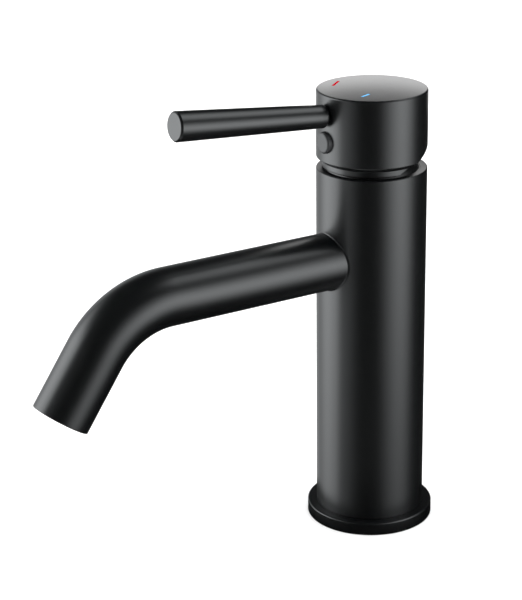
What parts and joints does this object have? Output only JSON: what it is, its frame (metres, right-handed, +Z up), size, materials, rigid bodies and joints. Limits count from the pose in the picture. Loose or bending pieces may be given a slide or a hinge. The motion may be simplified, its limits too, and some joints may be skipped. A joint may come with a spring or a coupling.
{
  "type": "bathroom mixer faucet",
  "caption": "Deck-mounted basin mixer: a round column on a base ring, a tube spout bent downwards, and a turning head with a rod lever that tilts to open.",
  "frame": {"origin": "the column's axis in the plane of the deck, at the middle of the deck hole", "axes": "+Z up the column; the spout and the lever point along -Y; hot on the -X side, cold on the +X side"},
  "size_m": [0.0538, 0.1843, 0.1934],
  "materials": {
    "satin_black": "satin black powder coat on brass, fine and even",
    "brass": "turned brass, not plated",
    "steel": "turned stainless steel",
    "rubber": "black nitrile rubber",
    "white_plastic": "moulded cartridge plastic",
    "blue_plastic": "moulded acetal",
    "red_plastic": "moulded plastic",
    "black_plastic": "moulded black plastic",
    "ceramic": "lapped alumina ceramic",
    "red_enamel": "filled red enamel",
    "blue_enamel": "filled light blue enamel"
  },
  "bodies": {
    "root": {"base_ring": "satin_black", "deck_gasket": "rubber", "column_oring": "rubber", "column_shell": "satin_black", "valve_body": "brass", "spout_nipple": "brass", "nipple_oring": "rubber", "spout_tube": "satin_black", "aerator_shell": "black_plastic", "aerator_grid": "black_plastic", "aerator_screens": "steel", "aerator_washer": "rubber", "flow_regulator": "white_plastic", "cartridge_seals": "rubber", "cartridge_base": "white_plastic", "fixed_disc": "ceramic", "cartridge_housing": "white_plastic", "cartridge_nut": "brass", "limit_ring": "red_plastic", "bonnet": "satin_black", "bonnet_oring": "rubber"},
    "turret": {"turret": "white_plastic", "rocker_pin": "steel"},
    "disc": {"disc_carrier": "blue_plastic", "moving_disc": "ceramic"},
    "handle": {"stem": "steel", "head": "satin_black", "lever_rod": "satin_black", "lever_stud": "steel", "set_screw": "steel", "screw_plug": "black_plastic", "hot_mark": "red_enamel", "cold_mark": "blue_enamel"}
  },
  "joints": [
    {"name": "temperature_turn", "type": "hinge", "parent": "root", "child": "turret", "pos_m": [0, 0, 0.1475], "axis": [0, 0, 1], "range_deg": [-45, 45]},
    {"name": "flow_lift", "type": "hinge", "parent": "turret", "child": "handle", "pos_m": [0, 0, 0.1475], "axis": [-1, 0, 0], "range_deg": [0, 25]},
    {"name": "disc_slide", "type": "slide", "parent": "turret", "child": "disc", "axis": [0, -1, 0], "range_m": [0, 0.004]}
  ],
  "couplings": [
    {"joint": "disc_slide", "follows": "flow_lift", "m_per_rad": 0.009}
  ]
}
